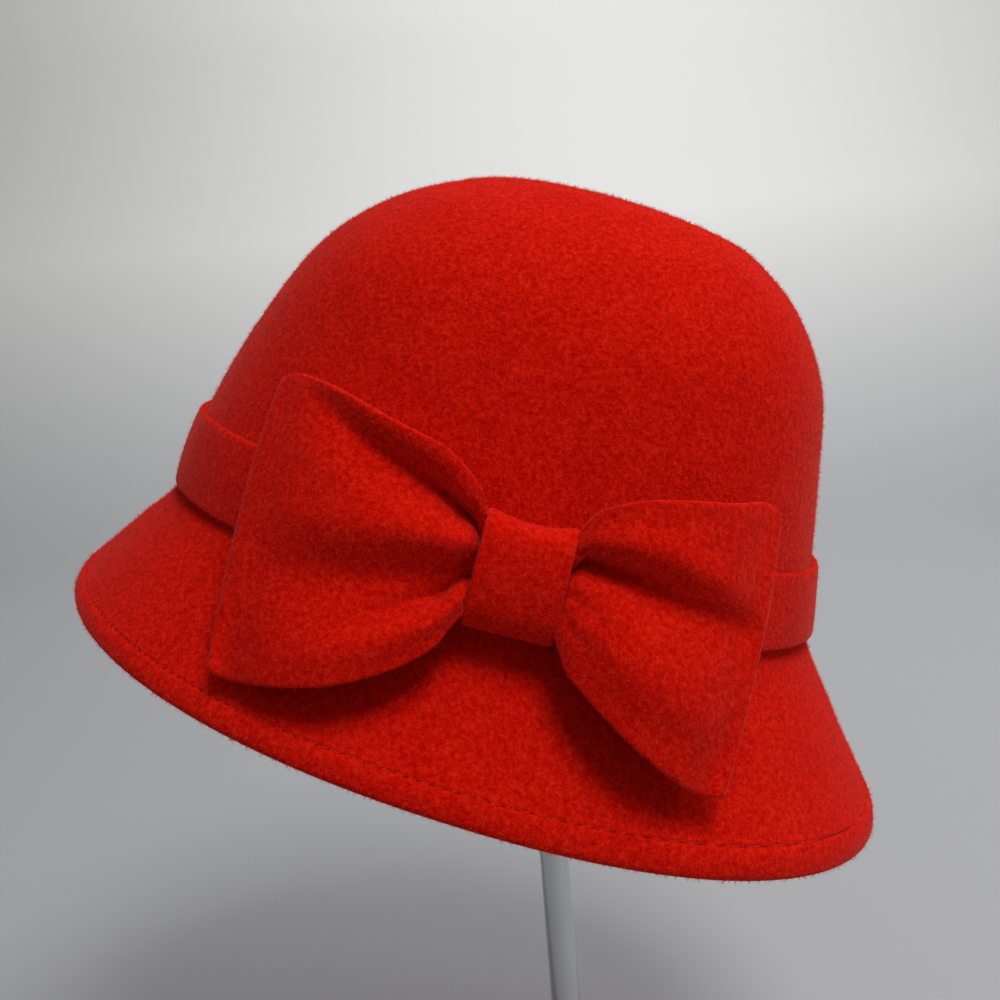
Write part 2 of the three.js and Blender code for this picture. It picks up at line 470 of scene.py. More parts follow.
@dataclass(frozen=True)
class ChromeFinish:
    """Polished chrome plating with faint drawing marks and finger haze."""

    name: str = "chrome"
    colour: tuple = (0.62, 0.63, 0.63)
    dull: tuple = (0.58, 0.59, 0.60)
    smooth: float = 0.05
    hazy: float = 0.11

    def material(self) -> bpy.types.Material:
        """Builds the material.

        Returns:
            The material.
        """
        material, tree = new_material(self.name)
        place = tree.place()
        haze = tree.node(
            "ShaderNodeTexNoise", {}, {"Vector": place, "Scale": 45.0, "Detail": 4.0}
        )
        stretched = tree.node(
            "ShaderNodeMapping", {}, {"Vector": place, "Scale": (2500.0, 2500.0, 30.0)}
        )
        drawn = tree.node(
            "ShaderNodeTexNoise", {}, {"Vector": stretched, "Scale": 1.0, "Detail": 1.0}
        )
        colour = tree.ramp([(0.35, self.dull), (0.6, self.colour)], haze)
        rough = self.smooth + (self.hazy - self.smooth) * (haze * haze)
        bump = tree.node(
            "ShaderNodeBump", {}, {"Strength": 0.05, "Distance": 0.02 * MM, "Height": drawn}
        )
        tree.surface({"Base Color": colour, "Metallic": 1.0, "Roughness": rough, "Normal": bump})
        return material


def finish_piece(
    piece: bpy.types.Object, material: bpy.types.Material, slot: Slot, *nodes: str
) -> None:
    """Dresses a piece, fixes it to the part's one body and hides the solids that it replaces.

    Args:
        piece: The finished object.
        material: Its material.
        slot: The record's slot. Not used.
        nodes: The solids that the piece replaces, if any.
    """
    piece.data.materials.clear()
    piece.data.materials.append(material)
    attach(piece, "root")
    if nodes:
        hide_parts(*nodes)
    LOG.info("%s: %d faces", piece.name, len(piece.data.polygons))


# The hat's form


@dataclass
class HatForm:
    """The blocked shape of crown and brim, in the hat's own frame, in millimetres."""

    felt: float = 2.4
    oval_power: float = 2.15
    half_length: float = 102.0
    width_ratio: float = 0.84
    break_height: float = 43.5
    band_width: float = 22.8
    band_lean: float = math.radians(3.4)
    rim_half_length: float = 132.4
    hem_depth: float = 9.0
    hem_rise: float = 0.35
    tilt: float = math.radians(21.5)
    pole_ahead_at_rim: float = 21.0
    stand_height: float = 338.0
    seat_rise: float = 153.2
    unevenness: float = 0.35
    crown: list[Row] = field(init=False)
    brim: list[Row] = field(init=False)

    def __post_init__(self) -> None:
        """Lays out the tables of sections."""
        self.crown = [
            {"height": 0.0, "half": self.half_length, "back": 8.0},
            {"height": self.band_width, "half": 98.2, "back": 9.6},
            {"height": 50.0, "half": 91.2, "back": 8.8},
            {"height": 76.0, "half": 81.8, "back": 7.0},
            {"height": 94.0, "half": 67.8, "back": 4.8},
            {"height": 105.5, "half": 51.4, "back": 2.0},
            {"height": 112.0, "half": 34.0, "back": 0.0},
            {"height": 115.0, "half": 0.0, "back": -1.0},
        ]
        self.brim = [
            {"half": self.half_length, "back": 8.0},
            {"half": 117.2, "back": 4.8},
            {"half": self.rim_half_length, "back": 0.0},
        ]

    @property
    def top(self) -> int:
        """The place of the crown's top."""
        return len(self.crown) - 1

    @property
    def brim_length(self) -> float:
        """How long the brim is from the break to the rim, down its slope."""
        return math.hypot(self.rim_half_length - self.half_length, self.break_height)

    @property
    def place(self) -> Matrix:
        """The tilted hat's frame on its stand.

        Returns:
            A matrix into the part's frame, in metres.
        """
        ahead = self.pole_ahead_at_rim * math.cos(self.tilt)
        seat = Vector((0.0, ahead, self.stand_height - self.seat_rise)) * MM
        return Matrix.Translation(seat) @ Matrix.Rotation(self.tilt, 4, "X")

    def level(self, places: np.ndarray) -> dict[str, np.ndarray]:
        """The oval sections at places from -1 at the rim through 0 at the break to the top.

        Args:
            places: The places.

        Returns:
            Half length, half width, set-back, height and lean of each section.
        """
        places = np.asarray(places, dtype=float)
        last = self.crown[-2]
        mirrored = {**last, "half": -last["half"]}
        upper = between([*self.crown, mirrored], np.maximum(places, 0))
        down = np.clip(-places, 0, 1)
        lower = between(self.brim, down * (len(self.brim) - 1))
        above = places >= 0
        lean = math.tan(self.band_lean)
        narrower = self.half_length * (1 - self.width_ratio)
        rise = upper["height"] / self.crown[-1]["height"]
        return {
            "half": np.where(above, upper["half"], lower["half"]),
            "wide": np.where(above, upper["half"] * self.width_ratio, lower["half"] - narrower),
            "back": np.where(above, upper["back"], lower["back"]),
            "height": np.where(
                above, self.break_height + upper["height"], self.break_height * (1 - down)
            ),
            "lean": np.where(above, lean * (1 - rise), lean * (1 - down)),
        }

    def sunk(self, places: np.ndarray, depths: np.ndarray) -> dict[str, np.ndarray]:
        """The sections moved into the felt, square to the hat's skin.

        Args:
            places: The places.
            depths: How far each is moved.

        Returns:
            The same values as level gives.
        """
        step = 0.02
        places = np.asarray(places, dtype=float)
        here = self.level(places)
        above = self.level(np.minimum(places + step, self.top))
        below = self.level(np.maximum(places - step, -1))
        run = below["half"] - above["half"]
        fall = above["height"] - below["height"]
        length = np.hypot(run, fall)
        sideways, upwards = depths * fall / length, depths * run / length
        return {
            **here,
            "half": here["half"] - sideways,
            "wide": here["wide"] - sideways,
            "height": here["height"] - upwards,
        }

    def rings(self, places: np.ndarray, depths: np.ndarray, around: int) -> np.ndarray:
        """Points on the sections, a closed ring for each place.

        Args:
            places: The places of the rings.
            depths: How deep each lies in the felt.
            around: Points in each ring.

        Returns:
            The points, ring by ring.
        """
        angle = np.linspace(0, 2 * math.pi, around, endpoint=False)
        places, depths = np.asarray(places, dtype=float), np.asarray(depths, dtype=float)
        rows = {key: value[:, None] for key, value in self.sunk(places, depths).items()}
        wave = self.unevenness * self.ripple(angle[None, :], places[:, None])
        power = 2 / self.oval_power
        lengthwise = np.sign(np.cos(angle)) * np.abs(np.cos(angle)) ** power
        sidewise = np.sign(np.sin(angle)) * np.abs(np.sin(angle)) ** power
        fade = np.clip(rows["half"] / 30, 0, 1)
        ahead = (rows["half"] + wave * fade) * lengthwise - rows["back"]
        aside = (rows["wide"] + wave * fade) * sidewise
        height = rows["height"] + rows["lean"] * ahead + 0 * aside
        return np.stack([aside, -ahead, height], axis=-1)

    @staticmethod
    def ripple(angle: np.ndarray, places: np.ndarray) -> np.ndarray:
        """The slight unevenness of hand-blocked felt.

        Args:
            angle: Where round the hat.
            places: Where from the rim to the top.

        Returns:
            A wave from -1 to 1, which dies out at the rim.
        """
        slow = np.sin(3 * angle + 1.3 + 0.7 * places) * np.cos(1.1 * places + 0.4)
        quick = np.sin(7 * angle - 1.7 * places) * np.sin(2.3 * places + angle)
        return (0.6 * slow + 0.4 * quick) * np.clip(1 + places, 0, 1)


@dataclass
class FeltHood:
    """Crown and brim in one wall, its rim turned under and stitched flat."""

    form: HatForm
    around: int = 264
    crown_rows: int = 84
    crease_rows: int = 7
    brim_rows: int = 26
    hem_rows: int = 34
    turn_rows: int = 13
    under_rows: int = 8
    groove_depth: float = 0.42
    groove_spread: float = 0.55
    hem_puff: float = 0.35

    @property
    def crown_faces(self) -> int:
        """How many faces the crown's outer skin has, to just past the middle of the crease."""
        return (self.crown_rows + self.crease_rows // 2 + 1) * self.around

    @property
    def outer_faces(self) -> int:
        """How many faces the whole outer skin has, to just past the middle of the rim's turn."""
        rows = self.crown_rows + self.crease_rows + self.brim_rows + self.hem_rows
        return (rows + self.turn_rows // 2 + 2) * self.around

    @property
    def hem_place(self) -> float:
        """Where the turned hem ends, under the stitch line."""
        return -1 + self.form.hem_depth / self.form.brim_length

    @property
    def stitch_place(self) -> float:
        """Where the hem's stitch line runs."""
        return -1 + (self.form.hem_depth - 0.7) / self.form.brim_length

    def build(self) -> bpy.types.Object:
        """Builds the hood's mesh.

        Returns:
            The hood.
        """
        form = self.form
        radius = form.felt + form.hem_rise / 2
        edge = -1 + radius / form.brim_length
        crown = np.linspace(form.top - 0.04, 0.14, self.crown_rows)
        crease = np.linspace(0.10, -0.06, self.crease_rows)
        brim = np.linspace(-0.09, self.hem_place + 0.04, self.brim_rows)
        hem = np.linspace(self.hem_place + 0.03, edge, self.hem_rows)
        skin = np.concatenate([crown, crease, brim])
        turn = np.radians(np.linspace(0, 180, self.turn_rows + 2)[1:-1])
        places = np.concatenate(
            [skin, hem, edge - radius * np.sin(turn) / form.brim_length,
             np.linspace(edge, self.hem_place, self.under_rows),
             [self.hem_place + 0.006, self.hem_place + 0.02], skin[::-1]]
        )
        depths = np.concatenate(
            [np.zeros(len(skin)), self.hem_depths(hem, edge),
             radius * (1 - np.cos(turn)) - form.hem_rise,
             np.full(self.under_rows, 2 * form.felt), [form.felt * 1.7, form.felt],
             np.full(len(skin), form.felt)]
        )
        grid = form.rings(places, depths, self.around)
        return grid_object("hat_body", grid, form.place, ring=False)

    def hem_depths(self, places: np.ndarray, edge: float) -> np.ndarray:
        """How deep the outer skin lies over the hem: raised, puffed, and drawn in at the seam.

        Args:
            places: Where on the hem.
            edge: Where the rim starts to turn under.

        Returns:
            The depths, negative where the skin stands out.
        """
        rise = smoothstep(-places, -(self.hem_place + 0.02), -(self.hem_place - 0.01))
        along = (self.stitch_place - places) / (self.stitch_place - edge)
        puff = np.sin(math.pi * np.clip(along, 0, 1)) ** 0.8 * self.hem_puff
        from_seam = (places - self.stitch_place) * self.form.brim_length
        groove = self.groove_depth * np.exp(-((from_seam / self.groove_spread) ** 2))
        return groove - rise * self.form.hem_rise - puff

    def seam_points(self, count: int) -> np.ndarray:
        """Points along the stitch line, on the skin, in millimetres in the hat's frame."""
        return self.form.rings(np.array([self.stitch_place]), np.array([0.05]), count)[0]


@dataclass
class HatBand:
    """The strip of felt round the crown, just over the brim."""

    form: HatForm
    gap: float = 0.3
    felt: float = 2.0
    start: float = 0.04
    around: int = 264
    soft: int = 5

    @property
    def stand_off(self) -> float:
        """How far the band's face stands off the crown."""
        return self.gap + self.felt

    @property
    def cut_length(self) -> float:
        """How long the strip is cut, from its run round the crown at mid height."""
        ring = self.form.rings(np.array([0.5]), np.array([-self.gap]), 360)[0]
        return loop_length(ring)

    def build(self) -> bpy.types.Object:
        """Builds the band's mesh, its cut edges rounded.

        Returns:
            The band.
        """
        half = self.felt / 2
        trim = half / self.form.band_width
        up = np.linspace(self.start + trim, 1 - trim, 16)
        turn = np.linspace(0, math.pi, self.soft + 2)[1:-1]
        middle = self.gap + half
        places = np.concatenate(
            [up, 1 - trim + np.sin(turn) * trim, up[::-1], self.start + trim - np.sin(turn) * trim]
        )
        swell = 0.25 * np.sin(math.pi * np.linspace(0, 1, len(up)))
        depths = -np.concatenate(
            [np.full(len(up), self.gap), middle - half * np.cos(turn),
             np.full(len(up), self.stand_off) + swell, middle + half * np.cos(turn)]
        )
        grid = self.form.rings(places, depths, self.around)
        return grid_object("hat_band", grid, self.form.place, ring=True)


@dataclass
class Bow:
    """A wide felt strip folded into two loops, drawn in by a knot, on the band's near side.

    Its frame lies on the band: X ahead along the band, Y up and Z away from the head.
    """

    form: HatForm
    band: HatBand
    ahead: float = 1.3
    above: float = 1.0
    lean: float = math.radians(12.0)
    stand_off: float = 0.55
    felt: float = 1.8
    fold_inside: float = 3.0
    fold_start: float = 17.5
    fold_reach: float = 5.0
    fold_drop: float = 4.6
    fold_bulge: float = 2.2
    back_lift: float = 6.6
    waist_half: float = 10.0
    waist_top: float = 11.8
    waist_front: float = 9.4
    waist_back: float = 3.5
    knot_half: float = 11.4
    knot_top: float = 14.2
    knot_flare: float = 1.5
    knot_front: float = 12.8
    knot_corner: float = 5.0
    knot_crown: float = 3.0
    rear_slant: float = 1.8
    front_slant: float = 0.5
    corner: float = 1.8
    steps: int = 10
    across: int = 44
    knot_across: int = 24
    rear: list[Row] = field(init=False)
    front: list[Row] = field(init=False)
    folds: list[Row] = field(init=False)

    def __post_init__(self) -> None:
        """Lays out the tables of the loops and their folds."""
        columns = ("out", "rise", "twist", "top", "bottom")
        rear = [
            (10.4, 9.4, 0, 12.6, -10.8), (12.2, 10.2, 0, 15.6, -12.4), (14, 11.6, 0, 18.6, -15.4),
            (17, 13.6, 0, 21.8, -21.4), (25, 16.4, 0.5, 26.8, -28),
            (38, 16.6, 1.8, 30.2, -34.5), (53, 11, 3.8, 35, -38.8), (64.5, 2.8, 5.6, 37.2, -40.8),
        ]
        front = [
            (10.4, 9.4, 0, 12.6, -10.8), (12.2, 10.2, 0, 16.2, -12.4), (14, 11.6, 0, 19.6, -15.0),
            (17, 13.6, 0, 22.2, -19.4), (25, 16.4, 0.5, 25.8, -25),
            (35, 16, 1.8, 28.4, -31), (47, 10.4, 3.6, 31, -37), (56, 2.8, 5.4, 33.8, -40),
        ]
        self.rear = [dict(zip(columns, row)) for row in rear]
        self.front = [dict(zip(columns, row)) for row in front]
        columns = ("side", "at_knot", "at_end", "near", "far", "above", "below", "length")
        folds = [
            (-1, 0.54, 0.90, 6.5, 6.4, 4.4, 8.0, 62),
            (-1, 0.30, 0.05, -2.0, -1.8, 6.0, 8.0, 64),
            (-1, -0.10, -0.34, 2.0, 5.0, 10.0, 10.0, 66),
            (-1, -0.22, -0.62, 6.5, 3.2, 3.4, 3.2, 42),
            (-1, -0.62, -0.86, -1.6, -1.4, 5.0, 5.0, 60),
            (1, 0.46, 0.06, 6.5, 6.2, 4.6, 9.0, 65),
            (1, 0.72, 0.36, -1.2, -1.8, 6.0, 5.0, 58),
            (1, -0.18, -0.36, 3.4, 1.0, 3.0, 4.0, 34),
            (1, -0.30, -0.62, -1.4, -2.6, 9.0, 7.0, 60),
            (1, -0.78, -0.66, -1.6, -1.0, 4.0, 6.0, 44),
        ]
        self.folds = [dict(zip(columns, row)) for row in folds]

    @property
    def cut_width(self) -> float:
        """How wide the strip is cut: the mean width of its two folds."""
        ends = (self.rear[-1], self.front[-1])
        return sum(row["top"] - row["bottom"] for row in ends) / 2

    @property
    def cut_length(self) -> float:
        """How long the strip is cut, from its run along the middle of both loops."""
        return loop_length(self.middle()[:, self.across // 2])

    @property
    def knot_length(self) -> float:
        """How long the knot's strip is cut, from its run round the waist."""
        return loop_length(self.knot_middle()[:, self.knot_across // 2])

    @property
    def place(self) -> Matrix:
        """The bow's frame in the part's frame.

        Returns:
            A matrix into the part's frame, in metres.
        """
        out = Vector((-math.cos(self.lean), 0, math.sin(self.lean)))
        ahead = Vector((0, -math.cos(self.form.band_lean), math.sin(self.form.band_lean)))
        up = out.cross(ahead).normalized()
        ahead = up.cross(out).normalized()
        off = -(self.band.stand_off + self.stand_off)
        level = self.form.sunk(np.array([0.5]), np.array([off]))
        wide, height, lean = (float(level[key][0]) for key in ("wide", "height", "lean"))
        seat = Vector((-wide, -self.ahead, height + lean * self.ahead)) * MM
        turn = Matrix((ahead, up, out)).transposed().to_4x4()
        seat += up * (self.above * MM)
        return self.form.place @ Matrix.Translation(seat) @ turn

    def path(self) -> list[Row]:
        """The strip's closed path: along the front layers and back under them past the knot.

        Returns:
            The rows of the path, which between reads as a closed table.
        """
        def layer(rows: list[Row], side: int, front_first: bool) -> list[Row]:
            """One loop of the strip, by way of its fold.

            Args:
                rows: The loop's table, from the knot outwards.
                side: 1 for the loop ahead of the knot, -1 for the one behind it.
                front_first: True to go out along the front layer, False to come in along it.

            Returns:
                The rows of the path.
            """
            last = rows[-1]
            fronts = [{**row, "x": side * row["out"], "front": 1.0} for row in rows]
            outer = last["rise"] - 2 * self.fold_drop
            backs = []
            for row in rows:
                share = (row["out"] / last["out"]) ** 2
                rise = self.waist_back + (outer - self.waist_back) * share
                backs.append({**row, "x": side * row["out"], "rise": rise, "front": 0.0})
            fold = {
                **last, "x": side * (last["out"] + self.fold_reach),
                "rise": last["rise"] - self.fold_drop, "front": 0.3,
                "top": last["top"] - self.corner, "bottom": last["bottom"] + self.corner / 2,
            }
            return [*fronts, fold, *backs[::-1]] if front_first else [*backs, fold, *fronts[::-1]]

        waist = {"out": 0.0, "x": 0.0, "twist": 0.0, "top": self.waist_top,
                 "bottom": -self.waist_half}
        return [
            {**waist, "rise": self.waist_front, "front": 1.0},
            *layer(self.front, 1, True),
            {**waist, "rise": self.waist_back, "front": 0.0},
            *layer(self.rear, -1, False),
        ]

    def fold_depth(self, x: np.ndarray, y: np.ndarray, half: np.ndarray,
                   centre: np.ndarray) -> np.ndarray:
        """How far the folds press the front layer in, or lift it where a depth is negative.

        Args:
            x: Where along the strip.
            y: Where across it, in millimetres.
            half: Half the strip's width there.
            centre: The y of the strip's middle there.

        Returns:
            The depth at each point.
        """
        far_at, narrow = 0.6, 0.4
        depth = np.zeros(np.broadcast(x, y).shape)
        for fold in self.folds:
            along = np.clip(np.abs(x) / fold["length"], 0, 1)
            across = fold["at_knot"] + (fold["at_end"] - fold["at_knot"]) * along
            away = y - (centre + across * half)
            wide = np.where(away > 0, fold["above"], fold["below"])
            wide = wide * (narrow + (1 - narrow) * smoothstep(along, 0.1, far_at))
            slope = (fold["far"] / (1 - far_at) - fold["near"]) / far_at
            deep = (1 - along) * (fold["near"] + slope * along)
            depth += (np.sign(x) == fold["side"]) * deep * np.exp(-((away / wide) ** 2))
        return depth

    def middle(self) -> np.ndarray:
        """The middle surface of the strip, in rows across it.

        Returns:
            The points, row by row.
        """
        path = self.path()
        places = np.arange(len(path) * self.steps) / self.steps
        rows = {key: value[:, None] for key, value in between(path, places, True).items()}
        across = np.linspace(-1, 1, self.across + 1)[None, :]
        y = rows["bottom"] + (rows["top"] - rows["bottom"]) * (across + 1) / 2
        half = (rows["top"] - rows["bottom"]) / 2
        opened = smoothstep(np.abs(rows["x"]), self.fold_inside, self.fold_start)
        deep = self.fold_depth(rows["x"], y, half, rows["bottom"] + half)
        press = rows["front"] * opened * deep
        lift = self.back_lift * (1 - rows["front"]) * np.minimum(across, 0) ** 2
        bulge = self.fold_bulge * (1 - across**2) * rows["x"] / self.rear[-1]["out"]
        height = rows["rise"] + lift - rows["twist"] * across - press
        slant = np.where(
            rows["x"] < 0, self.rear_slant * across, self.front_slant * (1 - across)
        )
        slant = slant * smoothstep(np.abs(rows["x"]), 20.0, 60.0)
        return np.stack([rows["x"] + bulge - slant, y, height], axis=-1)

    def build(self) -> bpy.types.Object:
        """Builds the bow's mesh."""
        grid = thickened(self.middle(), self.felt)
        return grid_object("bow_loops", grid, self.place, ring=True)

    def build_knot(self) -> bpy.types.Object:
        """Builds the short strip round the bow's waist."""
        grid = thickened(self.knot_middle(), self.felt)
        return grid_object("bow_knot", grid, self.place, ring=True)

    def knot_middle(self) -> np.ndarray:
        """The middle surface of the knot's strip, in rows across it.

        Returns:
            The points, row by row.
        """
        inset = self.felt / 2
        low, high = self.band.gap + inset, self.knot_front - inset
        corner = self.knot_corner
        across = np.linspace(-1, 1, self.knot_across + 1)
        top = self.knot_top - inset + self.knot_flare * across**2
        rows = []
        for side_y, side_z, start in ((1, 1, 0), (-1, 1, 90), (-1, -1, 180), (1, -1, 270)):
            centre = high - corner if side_z > 0 else low + corner
            edge = top if side_y > 0 else np.full_like(top, self.knot_top - inset)
            for turn in np.radians(start + np.linspace(0, 90, 9)):
                y = side_y * (edge - corner) + corner * math.cos(turn)
                z = np.full_like(y, centre + corner * math.sin(turn))
                rows.append(np.stack([across * self.knot_half, y, z], axis=-1))
        rows = self._filled(np.array(rows))
        forward = smoothstep(rows[..., 2], (low + high) / 2, high - 1.0)
        rows[..., 2] += forward * self.knot_sag(rows[..., 1])
        return rows

    def knot_sag(self, y: np.ndarray) -> np.ndarray:
        """How far the knot's soft front stands out in its middle and falls back below."""
        share = (y - 3.0) / self.knot_top
        return self.knot_crown * (0.5 - share**2)

    @staticmethod
    def _filled(rows: np.ndarray, step: float = 1.6) -> np.ndarray:
        """Adds rows where two lie further apart than a step.

        Args:
            rows: Rows of points, of which the last leads to the first.
            step: The step in millimetres.

        Returns:
            All the rows.
        """
        full = []
        for here, ahead in zip(rows, np.roll(rows, -1, axis=0)):
            parts = max(1, round(float(np.linalg.norm(ahead[0] - here[0])) / step))
            full += [here + (ahead - here) * k / parts for k in range(parts)]
        return np.array(full)


# What repeats


@dataclass
class HemStitches:
    """The line of sewing that holds the turned hem."""

    hood: FeltHood
    pitch: float = 3.0
    length: float = 2.3
    thread: float = 0.42

    def build(self, material: bpy.types.Material) -> bpy.types.Object:
        """Lays short lengths of thread along the seam by Geometry Nodes.

        Args:
            material: The thread's material, which the tree sets.

        Returns:
            The stitches as one plain mesh.
        """
        seam = self.hood.seam_points(720) * MM
        curve = bpy.data.curves.new("hem_stitches", "CURVE")
        curve.dimensions = "3D"
        spline = curve.splines.new("POLY")
        spline.points.add(len(seam) - 1)
        for point, place in zip(spline.points, seam):
            point.co = (*(self.hood.form.place @ Vector(place)), 1.0)
        spline.use_cyclic_u = True
        piece = placed("hem_stitches", curve)
        return realized(piece, self._tree(material), {
            "Count": round(loop_length(seam) / (self.pitch * MM)),
            "Length": self.length * MM,
            "Thread": self.thread * MM,
        })

    @staticmethod
    def _tree(material: bpy.types.Material) -> bpy.types.NodeTree:
        """Makes the tree that sets a short length of thread on each point of the seam.

        Args:
            material: The thread's material.

        Returns:
            The tree.
        """
        group, tree, given = new_geometry_tree(
            "hem_stitch_tree", {"Count": "NodeSocketInt", "Length": "NodeSocketFloat",
                                "Thread": "NodeSocketFloat"}
        )
        points = tree.node(
            "GeometryNodeCurveToPoints", {"mode": "COUNT"},
            {"Curve": given["Geometry"], "Count": given["Count"]}, "Points",
        )
        along = Socket(tree, points.link.node.outputs["Rotation"])
        thread = tree.node(
            "GeometryNodeMeshCylinder", {"fill_type": "NGON"},
            {"Vertices": 8, "Side Segments": 1, "Radius": 0.5 * given["Thread"],
             "Depth": given["Length"]},
            "Mesh",
        )
        set_on = tree.node(
            "GeometryNodeInstanceOnPoints", {},
            {"Points": points, "Instance": thread, "Rotation": along}, "Instances",
        )
        close_geometry_tree(group, tree, set_on, material)
        return group


@dataclass
class Nap:
    """Short wool fibres that stand off a felt piece, denser where it is seen from close by."""

    name: str
    per_cm2: float
    length: float = 1.6
    width: float = 0.11
    seed: int = 3

    def build(self, base: bpy.types.Mesh, material: bpy.types.Material) -> bpy.types.Object:
        """Scatters the fibres over a felt skin by Geometry Nodes.

        Args:
            base: The skin that carries the fibres.
            material: The fibre's material, which the tree sets.

        Returns:
            The fibres as one plain mesh.
        """
        piece = placed(self.name, base.copy())
        return realized(piece, self._tree(material, self._fibre(), self.seed), {
            "Density": self.per_cm2 * 1e4,
            "Length": self.length,
        })

    def _fibre(self) -> bpy.types.Object:
        """One pointed fibre, a millimetre long, with three sides.

        Returns:
            The fibre, outside the scene.
        """
        turns = [2 * math.pi * k / 3 for k in range(3)]
        points = [(math.cos(a) * self.width / 2, math.sin(a) * self.width / 2, 0) for a in turns]
        points.append((0.0, 0.0, 1.0))
        faces = [(2, 1, 0), (0, 1, 3), (1, 2, 3), (2, 0, 3)]
        mesh = bpy.data.meshes.new(self.name + "_fibre")
        mesh.from_pydata([tuple(v * MM for v in point) for point in points], [], faces)
        mesh.update()
        return bpy.data.objects.new(self.name + "_fibre", mesh)

    @staticmethod
    def _tree(
        material: bpy.types.Material, fibre: bpy.types.Object, seed: int
    ) -> bpy.types.NodeTree:
        """Makes the tree that sets a fibre on random points, leaning at random.

        Args:
            material: The fibre's material.
            fibre: The fibre's shape.
            seed: What the random draws start from.

        Returns:
            The tree.
        """
        group, tree, given = new_geometry_tree(
            "nap_tree", {"Density": "NodeSocketFloat", "Length": "NodeSocketFloat"}
        )
        points = tree.node(
            "GeometryNodeDistributePointsOnFaces", {"distribute_method": "RANDOM"},
            {"Mesh": given["Geometry"], "Density": given["Density"], "Seed": seed}, "Points",
        )
        upright = Socket(tree, points.link.node.outputs["Rotation"])
        turn = tree.node(
            "FunctionNodeRandomValue", {"data_type": "FLOAT_VECTOR"},
            {0: (-1.1, -1.1, 0.0), 1: (1.1, 1.1, 2 * math.pi), "Seed": seed + 1}, 0,
        )
        leaning = tree.node(
            "FunctionNodeRotateRotation", {"rotation_space": "LOCAL"},
            {"Rotation": upright, "Rotate By": turn},
        )
        size = tree.node(
            "FunctionNodeRandomValue", {"data_type": "FLOAT"},
            {2: 0.35, 3: 1.0, "Seed": seed + 2}, 1,
        )
        shape = tree.node(
            "GeometryNodeObjectInfo", {"transform_space": "ORIGINAL"}, {"Object": fibre},
            "Geometry",
        )
        set_on = tree.node(
            "GeometryNodeInstanceOnPoints", {},
            {"Points": points, "Instance": shape, "Rotation": leaning,
             "Scale": size * given["Length"]},
            "Instances",
        )
        close_geometry_tree(group, tree, set_on, material)
        return group


def new_geometry_tree(
    name: str, inputs: dict[str, str]
) -> tuple[bpy.types.NodeTree, Tree, dict[str, Socket]]:
    """Starts a Geometry Nodes tree with named inputs.

    Args:
        name: The tree's name.
        inputs: Each input's name and socket type.

    Returns:
        The group, its tree for adding nodes, and its input sockets by name.
    """
    group = bpy.data.node_groups.new(name, "GeometryNodeTree")
    group.interface.new_socket("Geometry", in_out="INPUT", socket_type="NodeSocketGeometry")
    for key, kind in inputs.items():
        group.interface.new_socket(key, in_out="INPUT", socket_type=kind)
    group.interface.new_socket("Geometry", in_out="OUTPUT", socket_type="NodeSocketGeometry")
    tree = Tree(group)
    entry = group.nodes.new("NodeGroupInput")
    given = {key: Socket(tree, entry.outputs[key]) for key in ("Geometry", *inputs)}
    return group, tree, given


def close_geometry_tree(
    group: bpy.types.NodeTree, tree: Tree, result: Socket, material: bpy.types.Material
) -> None:
    """Realizes the instances, sets their material and ends the tree.

    Args:
        group: The group to end.
        tree: Its tree for adding nodes.
        result: The instances.
        material: Their material.
    """
    solid = tree.node("GeometryNodeRealizeInstances", {}, {"Geometry": result})
    dressed = tree.node("GeometryNodeSetMaterial", {}, {"Geometry": solid, "Material": material})
    end = group.nodes.new("NodeGroupOutput")
    group.links.new(dressed.link, end.inputs[0])


def realized(
    piece: bpy.types.Object, group: bpy.types.NodeTree, values: dict[str, float]
) -> bpy.types.Object:
    """Runs a tree on an object and keeps the result as a plain mesh.

    Args:
        piece: The object that carries the tree. It is removed.
        group: The tree.
        values: Its inputs by name.

    Returns:
        A new object of the same name.
    """
    name = piece.name
    modifier = piece.modifiers.new(name, "NODES")
    modifier.node_group = group
    for item in group.interface.items_tree:
        if item.in_out == "INPUT" and item.name in values:
            modifier[item.identifier] = values[item.name]
    graph = bpy.context.evaluated_depsgraph_get()
    mesh = bpy.data.meshes.new_from_object(piece.evaluated_get(graph))
    bpy.data.objects.remove(piece)
    mesh.name = name
    return placed(name, mesh)


# The stand


